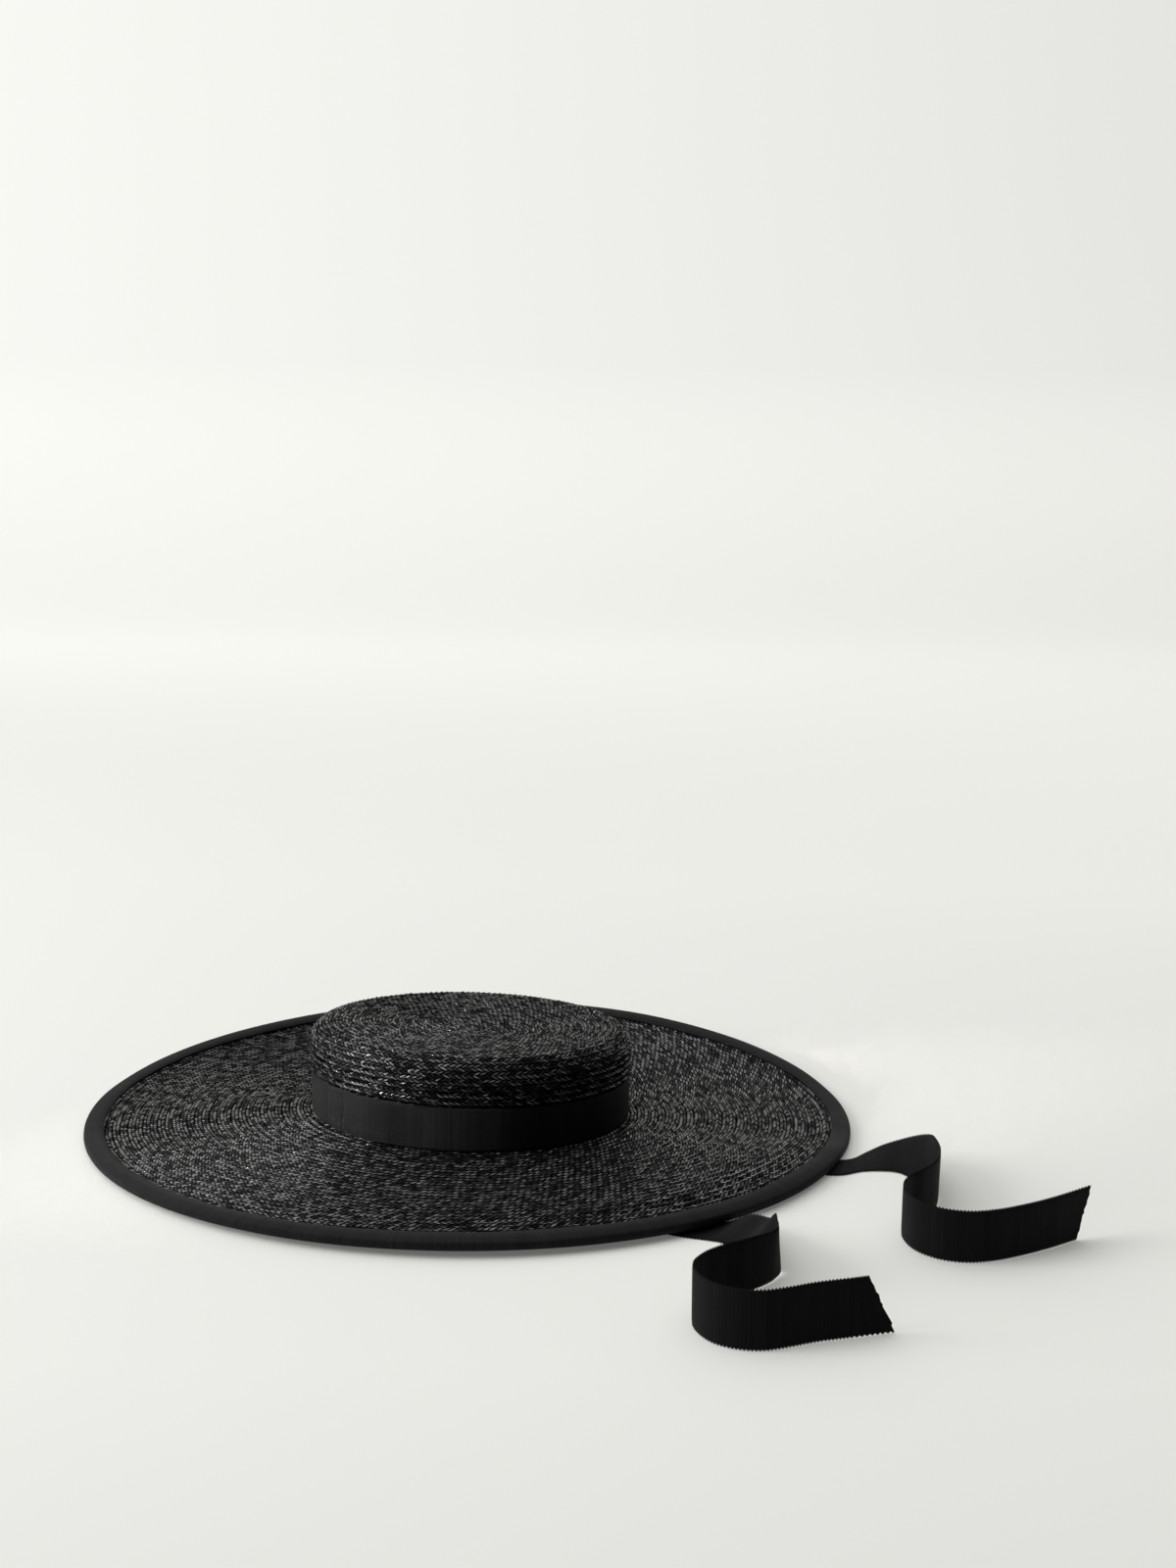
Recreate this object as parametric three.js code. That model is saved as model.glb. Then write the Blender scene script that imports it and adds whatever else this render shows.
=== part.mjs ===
// A wide-brimmed straw boater hat that lies on a table, with two ribbon ties.
// Millimetres, +Z up. The origin is on the table under the middle of the hat.
// +X is the back-to-front line of the head, and the wearer's two sides are +Y and -Y.

import * as THREE from 'three';

// The head's opening and the straw
const headLength = 194;
const headBreadth = 162;
const crownWall = 2.5;
const brimWall = 2.4;

// The crown above the seat, which is the brim's top at the headline
const crownHeight = 56;
const crownEdgeDepth = 14;
const crownEdgeReach = 11;
const crownDish = 3.5;
const crownBulge = 1;

// The brim, measured over its binding
const brimLength = 480.8;
const brimBreadth = 449.2;
const brimLift = 11;
const seatHeight = 6.45;

// Grosgrain ribbon: the hat band, the binding folded over the edge, and the ties
const bandWidth = 26.5;
const bandThickness = 1;
const bindingWidth = 10.5;
const bindingThickness = 1;
const tieWidth = 29;
const tieThickness = 1;

// Pieces that touch on the real hat keep this gap
const pieceGap = 0.3;

// The soft crown sits a little lower at one end: rise for each millimetre along X and Y
const seatLean = { x: -0.0225, y: -0.005 };
const topLean = { x: -0.022, y: -0.022 };

// Steps round the head, and on the rounded edge of the crown
const turnSteps = 80;
const edgeSteps = 4;

// The brim's edge at each turn from +X: rise is a share of brimLift above lying flat,
// slope is the outward tilt of the bound edge in degrees, negative where it droops
const brimRows = [
  { turn: -50, rise: 0.2, slope: -14 },
  { turn: -38, rise: 0.17, slope: -14 },
  { turn: -28, rise: 0.18, slope: -10 },
  { turn: -18, rise: 0.15, slope: -5 },
  { turn: -10, rise: 0, slope: 0 },
  { turn: 12, rise: 0, slope: 0 },
  { turn: 24, rise: 0.16, slope: 4 },
  { turn: 45, rise: 0.49, slope: 10 },
  { turn: 67, rise: 0.78, slope: 12 },
  { turn: 90, rise: 0.85, slope: 12 },
  { turn: 112, rise: 0.68, slope: 12 },
  { turn: 135, rise: 0.385, slope: 9 },
  { turn: 155, rise: 0.13, slope: 4 },
  { turn: 168, rise: 0, slope: 0 },
  { turn: 192, rise: 0, slope: 0 },
  { turn: 205, rise: 0.08, slope: -2 },
  { turn: 225, rise: 0.2, slope: -4 },
  { turn: 247, rise: 0.3, slope: -6 },
  { turn: 270, rise: 0.34, slope: -8 },
  { turn: 292, rise: 0.29, slope: -12 },
];

// The brim's curl starts late: its share of the way out, to this power
const curlPower = 4;
const brimSteps = 7;
const seatMargin = 2;

// Where the middle of each tie runs: x and y on the table, lift above lying on it,
// face is the turn that the ribbon's width points to, and stand is its angle above the table
const tieNearRows = [
  { x: 6, y: -84, lift: 3, face: 51, stand: 0 },
  { x: 20, y: -95, lift: 2, face: 51, stand: 0 },
  { x: 36, y: -108, lift: 0.7, face: 51, stand: 0 },
  { x: 54, y: -122, lift: 0, face: 51, stand: 0 },
  { x: 74, y: -138, lift: 0, face: 51, stand: 0 },
  { x: 92, y: -152, lift: 0, face: 53, stand: 0 },
  { x: 107, y: -164, lift: 0, face: 56, stand: 0 },
  { x: 126, y: -177, lift: 0, face: 62, stand: 0 },
  { x: 146, y: -183.5, lift: 0, face: 63, stand: 1.5 },
  { x: 155, y: -188.5, lift: 0, face: 50, stand: 16 },
  { x: 162.5, y: -200, lift: 0, face: 32, stand: 25 },
  { x: 164.5, y: -219, lift: 0.8, face: 36, stand: 47 },
  { x: 173, y: -234, lift: 0.7, face: 8, stand: 94 },
  { x: 170.5, y: -246.5, lift: 0.2, face: -52, stand: 87 },
  { x: 157, y: -259, lift: 0, face: 85, stand: 87 },
  { x: 143, y: -269, lift: 0, face: 90, stand: 82 },
  { x: 132, y: -280, lift: 0, face: 90, stand: 79 },
  { x: 126, y: -293, lift: 0, face: 90, stand: 78 },
  { x: 128, y: -305, lift: 0, face: 90, stand: 78 },
  { x: 135, y: -316, lift: 0, face: 90, stand: 78 },
  { x: 146, y: -322, lift: 0, face: 90, stand: 78 },
  { x: 158, y: -323, lift: 0, face: 90, stand: 78 },
  { x: 170, y: -319, lift: 0, face: 90, stand: 78 },
  { x: 184, y: -313, lift: 0, face: 90, stand: 78 },
  { x: 200, y: -308, lift: 0, face: 90, stand: 78 },
  { x: 216, y: -303, lift: 0, face: 90, stand: 78 },
];
const tieFarRows = [
  { x: -4, y: 86, lift: 2.4, face: 52, stand: 0 },
  { x: 10, y: 75, lift: 1.4, face: 52, stand: 0 },
  { x: 26, y: 62.5, lift: 0.4, face: 52, stand: 0 },
  { x: 44, y: 48.5, lift: 0, face: 52, stand: 0 },
  { x: 66, y: 31.5, lift: 0, face: 52, stand: 0 },
  { x: 90, y: 13, lift: 0, face: 52, stand: 0 },
  { x: 114, y: -5.5, lift: 0, face: 52, stand: 0 },
  { x: 138, y: -24, lift: 0, face: 52, stand: 0 },
  { x: 162, y: -42.5, lift: 0, face: 52, stand: 0 },
  { x: 184, y: -59.5, lift: 0, face: 54, stand: 0 },
  { x: 203, y: -74, lift: 0, face: 57, stand: 0 },
  { x: 217, y: -83, lift: 0, face: 63, stand: 0 },
  { x: 229, y: -83, lift: 0, face: 70, stand: 1 },
  { x: 241, y: -76, lift: 0, face: 76, stand: 5 },
  { x: 252, y: -75, lift: 0, face: 80, stand: 14 },
  { x: 262, y: -79, lift: 0, face: 73, stand: 27 },
  { x: 270, y: -92, lift: 0, face: 54, stand: 50 },
  { x: 274, y: -111, lift: 0, face: 40, stand: 77 },
  { x: 275, y: -128, lift: 0, face: 20, stand: 88 },
  { x: 271, y: -143, lift: 0, face: 0, stand: 90 },
  { x: 262, y: -157, lift: 0, face: 0, stand: 90 },
  { x: 252, y: -168, lift: 0, face: 0, stand: 90 },
  { x: 246, y: -181, lift: 0, face: 0, stand: 90 },
  { x: 246, y: -194, lift: 0, face: 45, stand: 90 },
  { x: 250, y: -206, lift: 0, face: 90, stand: 89 },
  { x: 260, y: -216, lift: 0, face: 90, stand: 88 },
  { x: 274, y: -220, lift: 0, face: 90, stand: 88 },
  { x: 289, y: -217, lift: 0, face: 90, stand: 88 },
  { x: 306, y: -209, lift: 0, face: 90, stand: 88 },
  { x: 324, y: -198, lift: 0, face: 90, stand: 88 },
  { x: 343, y: -184, lift: 0, face: 90, stand: 88 },
];

// The raw ends are cut on a slant: how far the lower edge runs past the upper one
const tieNearSlant = 14;
const tieFarSlant = -11;
const stepsPerTieRow = 2;

// Sizes that follow from the ones above
const headX = headLength / 2;
const headY = headBreadth / 2;
const brimX = brimLength / 2 - bindingThickness - pieceGap;
const brimY = brimBreadth / 2 - bindingThickness - pieceGap;
const bindingHalfHeight = brimWall / 2 + pieceGap + bindingThickness;
const bandInset = crownWall + pieceGap;
const bandTop = pieceGap + bandWidth;
const crownReach = bandInset + bandThickness + crownBulge;
const seatReach = bandInset + bandThickness + seatMargin;

const straw = new THREE.MeshStandardMaterial({ color: 0x2e2e33, roughness: 0.45, metalness: 0 });
const grosgrain = new THREE.MeshStandardMaterial({ color: 0x141416, roughness: 0.8, metalness: 0 });

const lerp = THREE.MathUtils.lerp;
const radians = THREE.MathUtils.degToRad;

// A smooth value between table rows that never overshoots them (a monotone cubic)
function valueAtTurn(rows, column, turn) {
  const count = rows.length;
  const first = rows[0].turn;
  const wrapped = first + THREE.MathUtils.euclideanModulo(turn - first, 360);
  const at = (i) => rows[THREE.MathUtils.euclideanModulo(i, count)];
  const turnAt = (i) => at(i).turn + 360 * Math.floor(i / count);
  let row = 0;
  while (row < count - 1 && turnAt(row + 1) <= wrapped) {
    row += 1;
  }
  const steepness = (i) => (at(i + 1)[column] - at(i)[column]) / (turnAt(i + 1) - turnAt(i));
  const slopeAt = (i) => {
    const before = steepness(i - 1);
    const after = steepness(i);
    return before * after <= 0 ? 0 : (2 * before * after) / (before + after);
  };
  const span = turnAt(row + 1) - turnAt(row);
  const s = (wrapped - turnAt(row)) / span;
  const s2 = s * s;
  const s3 = s2 * s;
  return (
    (2 * s3 - 3 * s2 + 1) * at(row)[column] +
    (s3 - 2 * s2 + s) * span * slopeAt(row) +
    (3 * s2 - 2 * s3) * at(row + 1)[column] +
    (s3 - s2) * span * slopeAt(row + 1)
  );
}

// A ring of points round the head's oval, `reach` outside it
function ovalRing(reach, heightAt, share = 1) {
  const ring = [];
  for (let i = 0; i < turnSteps; i += 1) {
    const turn = (360 * i) / turnSteps;
    const x = share * (headX + reach) * Math.cos(radians(turn));
    const y = share * (headY + reach) * Math.sin(radians(turn));
    ring.push(new THREE.Vector3(x, y, heightAt(x, y, turn)));
  }
  return ring;
}

// Height of the leaning crown's level `h` above its seat
function crownLevel(h) {
  const share = h / crownHeight;
  const leanX = lerp(seatLean.x, topLean.x, share);
  const leanY = lerp(seatLean.y, topLean.y, share);
  return (x, y) => seatHeight + h + leanX * x + leanY * y;
}

// Joins rings of equal length into one closed skin. A ring of one point is a pole.
// `closed` joins the last ring to the first; otherwise both ends are poles or flat caps.
function solidFromRings(rings, closed) {
  const positions = [];
  const starts = [];
  for (const ring of rings) {
    starts.push(positions.length / 3);
    for (const p of ring) {
      positions.push(p.x, p.y, p.z);
    }
  }
  const faces = [];
  const joins = closed ? rings.length : rings.length - 1;
  for (let r = 0; r < joins; r += 1) {
    const next = (r + 1) % rings.length;
    const count = Math.max(rings[r].length, rings[next].length);
    for (let i = 0; i < count; i += 1) {
      const j = (i + 1) % count;
      const a = starts[r] + (rings[r].length === 1 ? 0 : i);
      const b = starts[r] + (rings[r].length === 1 ? 0 : j);
      const c = starts[next] + (rings[next].length === 1 ? 0 : j);
      const d = starts[next] + (rings[next].length === 1 ? 0 : i);
      if (a !== b) {
        faces.push([a, b, c]);
      }
      if (c !== d) {
        faces.push([a, c, d]);
      }
    }
  }
  if (!closed) {
    capRing(faces, starts[0], rings[0].length, false);
    capRing(faces, starts[rings.length - 1], rings[rings.length - 1].length, true);
  }
  return outwardGeometry(positions, faces);
}

// Closes an open end with a fan. A pole needs none.
function capRing(faces, start, count, forward) {
  for (let i = 1; i < count - 1; i += 1) {
    faces.push(forward ? [start, start + i, start + i + 1] : [start, start + i + 1, start + i]);
  }
}

// Turns the skin so that its faces point out of the body
function outwardGeometry(positions, faces) {
  const point = (i) => new THREE.Vector3().fromArray(positions, 3 * i);
  let volume = 0;
  for (const [a, b, c] of faces) {
    volume += point(a).dot(point(b).cross(point(c)));
  }
  const index = volume > 0 ? faces.flat() : faces.map(([a, b, c]) => [a, c, b]).flat();
  const geometry = new THREE.BufferGeometry();
  geometry.setAttribute('position', new THREE.Float32BufferAttribute(positions, 3));
  geometry.setIndex(index);
  geometry.computeVertexNormals();
  return geometry;
}

// The crown: a straight wall behind the band, a fuller wall above it, a rounded edge
// and a slightly dished top, with the same wall thickness all over
function crownGeometry() {
  const wallRows = [
    { h: pieceGap, reach: crownWall },
    { h: bandTop + pieceGap, reach: crownWall },
    { h: bandTop + 2 * crownWall, reach: crownReach },
  ];
  const rings = wallRows.map((row) => ovalRing(row.reach, crownLevel(row.h)));
  rings.push(...crownTopRings(crownEdgeReach, crownEdgeDepth, 0));
  rings.push(...crownTopRings(crownEdgeReach - crownWall, crownEdgeDepth - crownWall, crownWall).reverse());
  const innerRows = wallRows.map((row) => ovalRing(row.reach - crownWall, crownLevel(row.h)));
  rings.push(...innerRows.reverse());
  return solidFromRings(rings, true);
}

// The rounded edge and the dished top of one skin, from the wall to the middle
function crownTopRings(edgeReach, edgeDepth, below) {
  const rings = [];
  const bendReach = crownReach - crownEdgeReach;
  const bendHeight = crownHeight - crownEdgeDepth;
  for (let i = 0; i <= edgeSteps; i += 1) {
    const angle = radians((90 * i) / edgeSteps);
    const reach = bendReach + edgeReach * Math.cos(angle);
    rings.push(ovalRing(reach, crownLevel(bendHeight + edgeDepth * Math.sin(angle))));
  }
  for (const share of [0.75, 0.5, 0.25]) {
    rings.push(ovalRing(bendReach, crownLevel(crownHeight - below - dishDepth(share)), share));
  }
  rings.push([new THREE.Vector3(0, 0, crownLevel(crownHeight - below - dishDepth(0))(0, 0))]);
  return rings;
}

// How far the top sinks at a share of the way from the middle to its edge
function dishDepth(share) {
  return crownDish * (1 - share ** 2) ** 2;
}

// The straw brim's middle surface at a reach outside the head, from the headline to the edge
function brimMiddle(turn, x, y, share) {
  const width = (brimX - headX + brimY - headY) / 2;
  const seatShare = seatReach / width;
  const boundShare = 1 - bindingWidth / width;
  const seat = seatHeight - brimWall / 2;
  const lean = seatLean.x * x + seatLean.y * y;
  if (share <= seatShare) {
    return seat + lean;
  }
  const edge = edgeHeight(turn);
  const slope = edgeSlope(turn);
  const boundStart = edge - bindingWidth * slope;
  if (share >= boundShare) {
    return edge - (1 - share) * width * slope;
  }
  const seatScale = (headX + seatReach) / (headX + share * width);
  const seatEnd = seat + lean * seatScale;
  const run = (boundShare - seatShare) * width;
  const q = (share - seatShare) / (boundShare - seatShare);
  const curl = slope - (boundStart - seatEnd) / run;
  return lerp(seatEnd, boundStart, q) - curl * run * q ** curlPower * (1 - q);
}

function edgeHeight(turn) {
  return bindingHalfHeight + brimLift * valueAtTurn(brimRows, 'rise', turn);
}

function edgeSlope(turn) {
  return Math.tan(radians(valueAtTurn(brimRows, 'slope', turn)));
}

// A ring of the brim at a share of its width, offset up or down from its middle
function brimRing(share, offset) {
  const ring = [];
  for (let i = 0; i < turnSteps; i += 1) {
    const turn = (360 * i) / turnSteps;
    const x = lerp(headX, brimX, share) * Math.cos(radians(turn));
    const y = lerp(headY, brimY, share) * Math.sin(radians(turn));
    ring.push(new THREE.Vector3(x, y, brimMiddle(turn, x, y, share) + offset));
  }
  return ring;
}

function brimGeometry() {
  const width = (brimX - headX + brimY - headY) / 2;
  const shares = [0, seatReach / width];
  const boundShare = 1 - bindingWidth / width;
  for (let i = 1; i <= brimSteps; i += 1) {
    shares.push(lerp(shares[1], boundShare, i / brimSteps));
  }
  shares.push(1);
  const top = shares.map((share) => brimRing(share, brimWall / 2));
  const underside = shares.map((share) => brimRing(share, -brimWall / 2)).reverse();
  return solidFromRings([...top, ...underside], true);
}

// The hat band stands on the seat, round the crown's straight wall
function bandGeometry() {
  const inner = bandInset;
  const outer = bandInset + bandThickness;
  return solidFromRings(
    [
      ovalRing(inner, crownLevel(pieceGap)),
      ovalRing(outer, crownLevel(pieceGap)),
      ovalRing(outer, crownLevel(bandTop)),
      ovalRing(inner, crownLevel(bandTop)),
    ],
    true,
  );
}

// The binding is a ribbon folded over the brim's edge: a channel with a rounded nose.
// out is measured from the straw's edge, up from the middle of the straw.
function bindingGeometry() {
  const inside = brimWall / 2 + pieceGap;
  const outside = bindingHalfHeight;
  const nose = pieceGap + bindingThickness;
  const shoulder = nose - bindingThickness;
  const section = [
    { out: -bindingWidth, up: -inside },
    { out: -bindingWidth, up: -outside },
    { out: -shoulder, up: -outside },
    { out: 0.85 * nose, up: -0.6 * outside },
    { out: nose, up: 0 },
    { out: 0.85 * nose, up: 0.6 * outside },
    { out: -shoulder, up: outside },
    { out: -bindingWidth, up: outside },
    { out: -bindingWidth, up: inside },
    { out: pieceGap, up: inside },
    { out: pieceGap, up: -inside },
  ];
  const rings = section.map(({ out, up }) => {
    const ring = [];
    for (let i = 0; i < turnSteps; i += 1) {
      const turn = (360 * i) / turnSteps;
      const x = (brimX + out) * Math.cos(radians(turn));
      const y = (brimY + out) * Math.sin(radians(turn));
      ring.push(new THREE.Vector3(x, y, edgeHeight(turn) + out * edgeSlope(turn) + up));
    }
    return ring;
  });
  return solidFromRings(rings, true);
}

// A tie is a ribbon whose section follows its rows, with a raw end cut on a slant
function tieGeometry(rows, slant) {
  const middles = [];
  const widths = [];
  for (const row of rows) {
    const stand = radians(row.stand);
    const face = radians(row.face);
    const lying = (tieThickness / 2) * Math.abs(Math.cos(stand)) + (tieWidth / 2) * Math.sin(stand);
    middles.push(new THREE.Vector3(row.x, row.y, row.lift + lying));
    widths.push(
      new THREE.Vector3(Math.cos(stand) * Math.cos(face), Math.cos(stand) * Math.sin(face), Math.sin(stand)),
    );
  }
  const route = new THREE.CatmullRomCurve3(middles, false, 'centripetal');
  const spread = new THREE.CatmullRomCurve3(widths, false, 'catmullrom', 0.5);
  const steps = (rows.length - 1) * stepsPerTieRow;
  const rings = [];
  for (let i = 0; i <= steps; i += 1) {
    const middle = route.getPoint(i / steps);
    const along = route.getTangent(i / steps);
    const width = spread.getPoint(i / steps).normalize();
    const through = new THREE.Vector3().crossVectors(along, width).normalize();
    const shift = i === steps ? slant / 2 : 0;
    const corner = (side, face) =>
      middle
        .clone()
        .addScaledVector(width, (side * tieWidth) / 2)
        .addScaledVector(through, (face * tieThickness) / 2)
        .addScaledVector(along, -side * shift);
    rings.push([corner(-1, -1), corner(1, -1), corner(1, 1), corner(-1, 1)]);
  }
  return solidFromRings(rings, false);
}

function piece(name, geometry, material) {
  const mesh = new THREE.Mesh(geometry, material);
  mesh.name = name;
  return mesh;
}

const hat = new THREE.Group();
hat.add(piece('crown', crownGeometry(), straw));
hat.add(piece('brim', brimGeometry(), straw));
hat.add(piece('hat_band', bandGeometry(), grosgrain));
hat.add(piece('brim_binding', bindingGeometry(), grosgrain));
hat.add(piece('tie_near', tieGeometry(tieNearRows, tieNearSlant), grosgrain));
hat.add(piece('tie_far', tieGeometry(tieFarRows, tieFarSlant), grosgrain));

export default hat;
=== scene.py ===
# %% [markdown]
# # A straw boater with a wide brim and two ribbon ties
# A boater is sewn from one long plaited straw braid, laid round and round an oval block.
# This one is dyed black, has a grosgrain ribbon round its crown and another folded over its
# brim's edge, and two ribbons to tie it on. Each piece below is a surface worked out with
# numpy: a function of two parameters, computed as whole arrays.

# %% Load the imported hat
from math import pi, radians

import bpy
import numpy as np
from mathutils import Matrix, Vector


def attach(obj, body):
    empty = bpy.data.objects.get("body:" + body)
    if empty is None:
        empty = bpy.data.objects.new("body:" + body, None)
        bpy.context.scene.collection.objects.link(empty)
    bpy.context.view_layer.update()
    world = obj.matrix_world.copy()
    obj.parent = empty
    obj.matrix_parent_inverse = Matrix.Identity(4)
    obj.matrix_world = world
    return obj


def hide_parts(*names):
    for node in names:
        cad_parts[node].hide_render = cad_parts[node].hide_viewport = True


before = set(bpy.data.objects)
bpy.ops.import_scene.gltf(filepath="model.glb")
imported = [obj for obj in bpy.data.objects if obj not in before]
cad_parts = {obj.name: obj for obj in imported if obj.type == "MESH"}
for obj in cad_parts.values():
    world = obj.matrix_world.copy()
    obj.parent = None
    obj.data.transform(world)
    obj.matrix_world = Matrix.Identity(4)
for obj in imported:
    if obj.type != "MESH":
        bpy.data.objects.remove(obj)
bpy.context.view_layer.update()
MM = 0.001

# %% [markdown]
# ## The camera
# The photograph was taken from a little above the table. The camera's place, its tilt and its
# focal length were fitted to the hat's outline, so the render can be laid over the photograph.

# %% Camera
camera_place = (0.07155, -1.1611, 0.4026)
tilt_down = 9.126
roll = 0.842
focal_pixels = 1932.8
picture_pixels = 1600
sensor_mm = 36
view_depth = 60

camera_data = bpy.data.cameras.new("photo_camera")
camera_data.sensor_width = sensor_mm
camera_data.lens = sensor_mm * focal_pixels / picture_pixels
camera_data.clip_end = view_depth
camera = bpy.data.objects.new("photo_camera", camera_data)
camera.matrix_world = (
    Matrix.Translation(camera_place)
    @ Matrix.Rotation(radians(90 - tilt_down), 4, "X")
    @ Matrix.Rotation(radians(roll), 4, "Z")
)
bpy.context.scene.collection.objects.link(camera)
bpy.context.scene.camera = camera
print("lens", round(camera_data.lens, 2), "mm on a sensor of", sensor_mm, "mm")

# %% [markdown]
# ## One helper for every surface
# A hat is all curved sheets, which could be sculpted or bent by modifiers. Here each sheet is a
# formula instead, so its sizes are plain numbers. A grid of points with two directions becomes
# a mesh of quads. Each direction can be closed into a ring. The same grid order gives the UV
# map, so a pattern can follow the surface.

# %% Grid to mesh
def surface(name, grid, uv, close_rows=False, close_columns=False):
    """A mesh from a grid of points. Quad (i, j) joins the points (i, j), (i, j+1), (i+1, j+1)
    and (i+1, j). A closed direction joins its last points to its first. uv has one more row or
    column than the grid where that direction is closed."""
    rows, columns = grid.shape[:2]
    i = np.arange(rows if close_rows else rows - 1)[:, None]
    j = np.arange(columns if close_columns else columns - 1)[None, :]
    corner_i = np.stack([i + 0 * j, i + 0 * j, i + 1 + 0 * j, i + 1 + 0 * j], -1)
    corner_j = np.stack([j + 0 * i, j + 1 + 0 * i, j + 1 + 0 * i, j + 0 * i], -1)
    quads = (corner_i % rows) * columns + corner_j % columns
    mesh = bpy.data.meshes.new(name)
    mesh.vertices.add(rows * columns)
    mesh.vertices.foreach_set("co", grid.reshape(-1).astype(np.float32))
    count = quads.shape[0] * quads.shape[1]
    mesh.loops.add(4 * count)
    mesh.loops.foreach_set("vertex_index", quads.reshape(-1).astype(np.int32))
    mesh.polygons.add(count)
    mesh.polygons.foreach_set("loop_start", np.arange(0, 4 * count, 4, dtype=np.int32))
    mesh.polygons.foreach_set("use_smooth", np.ones(count, bool))
    uv_rows, uv_columns = uv.shape[:2]
    picked = uv[np.minimum(corner_i, uv_rows - 1), np.minimum(corner_j, uv_columns - 1)]
    layer = mesh.uv_layers.new(name="Follow")
    layer.data.foreach_set("uv", picked.reshape(-1).astype(np.float32))
    mesh.update(calc_edges=True)
    mesh.validate()
    return mesh


def add_piece(name, meshes, replaced=()):
    """Joins meshes into one object at the origin, rides it on the hat and hides the parts it
    replaces.
    """
    piece = bpy.data.objects.new(name, meshes[0])
    bpy.context.scene.collection.objects.link(piece)
    others = [bpy.data.objects.new(name + "_part", mesh) for mesh in meshes[1:]]
    for other in others:
        bpy.context.scene.collection.objects.link(other)
    if others:
        with bpy.context.temp_override(
            active_object=piece, selected_editable_objects=[piece, *others]
        ):
            bpy.ops.object.join()
    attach(piece, "root")
    if replaced:
        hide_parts(*replaced)
    print(name, "has", sum(len(p.vertices) - 2 for p in piece.data.polygons), "triangles")
    return piece


def unit(vectors):
    """Each vector divided by its length."""
    return vectors / np.maximum(np.linalg.norm(vectors, axis=-1, keepdims=True), 1e-12)


print("helpers: surface, add_piece and unit")

# %% [markdown]
# ## The ribbon ties
# Each tie is a grosgrain ribbon, stitched under the hat at one side of the head. It runs flat
# under the brim, comes out, turns up on its edge and lies in an S, with a raw end cut on a
# slant. A ribbon can bend along its length and twist, but it can't stretch, so it is made as a
# narrow section carried along a path. The path is its middle, and each point of it also has
# the direction of the ribbon's width there. A curve with a bevel could do it too, but its twist
# is hard to set, and here each turn is a number in the list.

# %% The ties' routes
tie_width = 29.0
tie_thickness = 0.9
cad_tie_thickness = 1.0
# Each row is a point's x and y, its lift above lying on the table, the direction of the
# ribbon's width seen from above, and how far the width stands up, both in degrees. The stand
# is 0 where the ribbon lies flat and 90 where it is on edge.
tie_near_rows = np.array([
    (6, -84, 3, 51, 0), (20, -95, 2, 51, 0), (36, -108, 0.7, 51, 0), (54, -122, 0, 51, 0),
    (74, -138, 0, 51, 0), (92, -152, 0, 53, 0), (107, -164, 0, 56, 0), (126, -177, 0, 62, 0),
    (146, -183.5, 0, 63, 1.5), (155, -188.5, 0, 50, 16), (162.5, -200, 0, 32, 25),
    (164.5, -219, 0.8, 36, 47), (173, -234, 0.7, 8, 94), (170.5, -246.5, 0.2, -52, 87),
    (157, -259, 0, 85, 87), (143, -269, 0, 90, 82), (132, -280, 0, 90, 79),
    (126, -293, 0, 90, 78), (128, -305, 0, 90, 78), (135, -316, 0, 90, 78),
    (146, -322, 0, 90, 78), (158, -323, 0, 90, 78), (170, -319, 0, 90, 78),
    (184, -313, 0, 90, 78), (200, -308, 0, 90, 78), (216, -303, 0, 90, 78),
], float)
tie_far_rows = np.array([
    (-4, 86, 2.4, 52, 0), (10, 75, 1.4, 52, 0), (26, 62.5, 0.4, 52, 0), (44, 48.5, 0, 52, 0),
    (66, 31.5, 0, 52, 0), (90, 13, 0, 52, 0), (114, -5.5, 0, 52, 0), (138, -24, 0, 52, 0),
    (162, -42.5, 0, 52, 0), (184, -59.5, 0, 54, 0), (203, -74, 0, 57, 0), (217, -83, 0, 63, 0),
    (229, -83, 0, 70, 1), (241, -76, 0, 76, 5), (252, -75, 0, 80, 14), (262, -79, 0, 73, 27),
    (270, -92, 0, 54, 50), (274, -111, 0, 40, 77), (275, -128, 0, 20, 88),
    (271, -143, 0, 0, 90), (262, -157, 0, 0, 90), (252, -168, 0, 0, 90), (246, -181, 0, 0, 90),
    (246, -194, 0, 45, 90), (250, -206, 0, 90, 89), (260, -216, 0, 90, 88),
    (274, -220, 0, 90, 88), (289, -217, 0, 90, 88), (306, -209, 0, 90, 88),
    (324, -198, 0, 90, 88), (343, -184, 0, 90, 88),
], float)
path_fineness = 40
print("points on the routes:", len(tie_near_rows), "and", len(tie_far_rows))


def smooth_path(points, at, power):
    """A Catmull-Rom curve through the points: between two points a cubic whose slopes come from
    the neighbours, with each step weighed by its length to the given power."""
    padded_points = np.vstack([2 * points[0] - points[1], points, 2 * points[-1] - points[-2]])
    steps = np.linalg.norm(np.diff(padded_points, axis=0), axis=1) ** power
    segment = np.minimum(at.astype(int), len(points) - 2)
    w = (at - segment)[:, None]
    before, here, there, after = (padded_points[segment + k] for k in range(4))
    d0, d1, d2 = (steps[segment + k][:, None] for k in range(3))
    leave = ((here - before) / d0 - (there - before) / (d0 + d1) + (there - here) / d1) * d1
    arrive = ((there - here) / d1 - (after - here) / (d1 + d2) + (after - there) / d2) * d1
    return (
        here * (2 * w**3 - 3 * w**2 + 1)
        + leave * (w**3 - 2 * w**2 + w)
        + there * (3 * w**2 - 2 * w**3)
        + arrive * (w**3 - w**2)
    )


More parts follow.
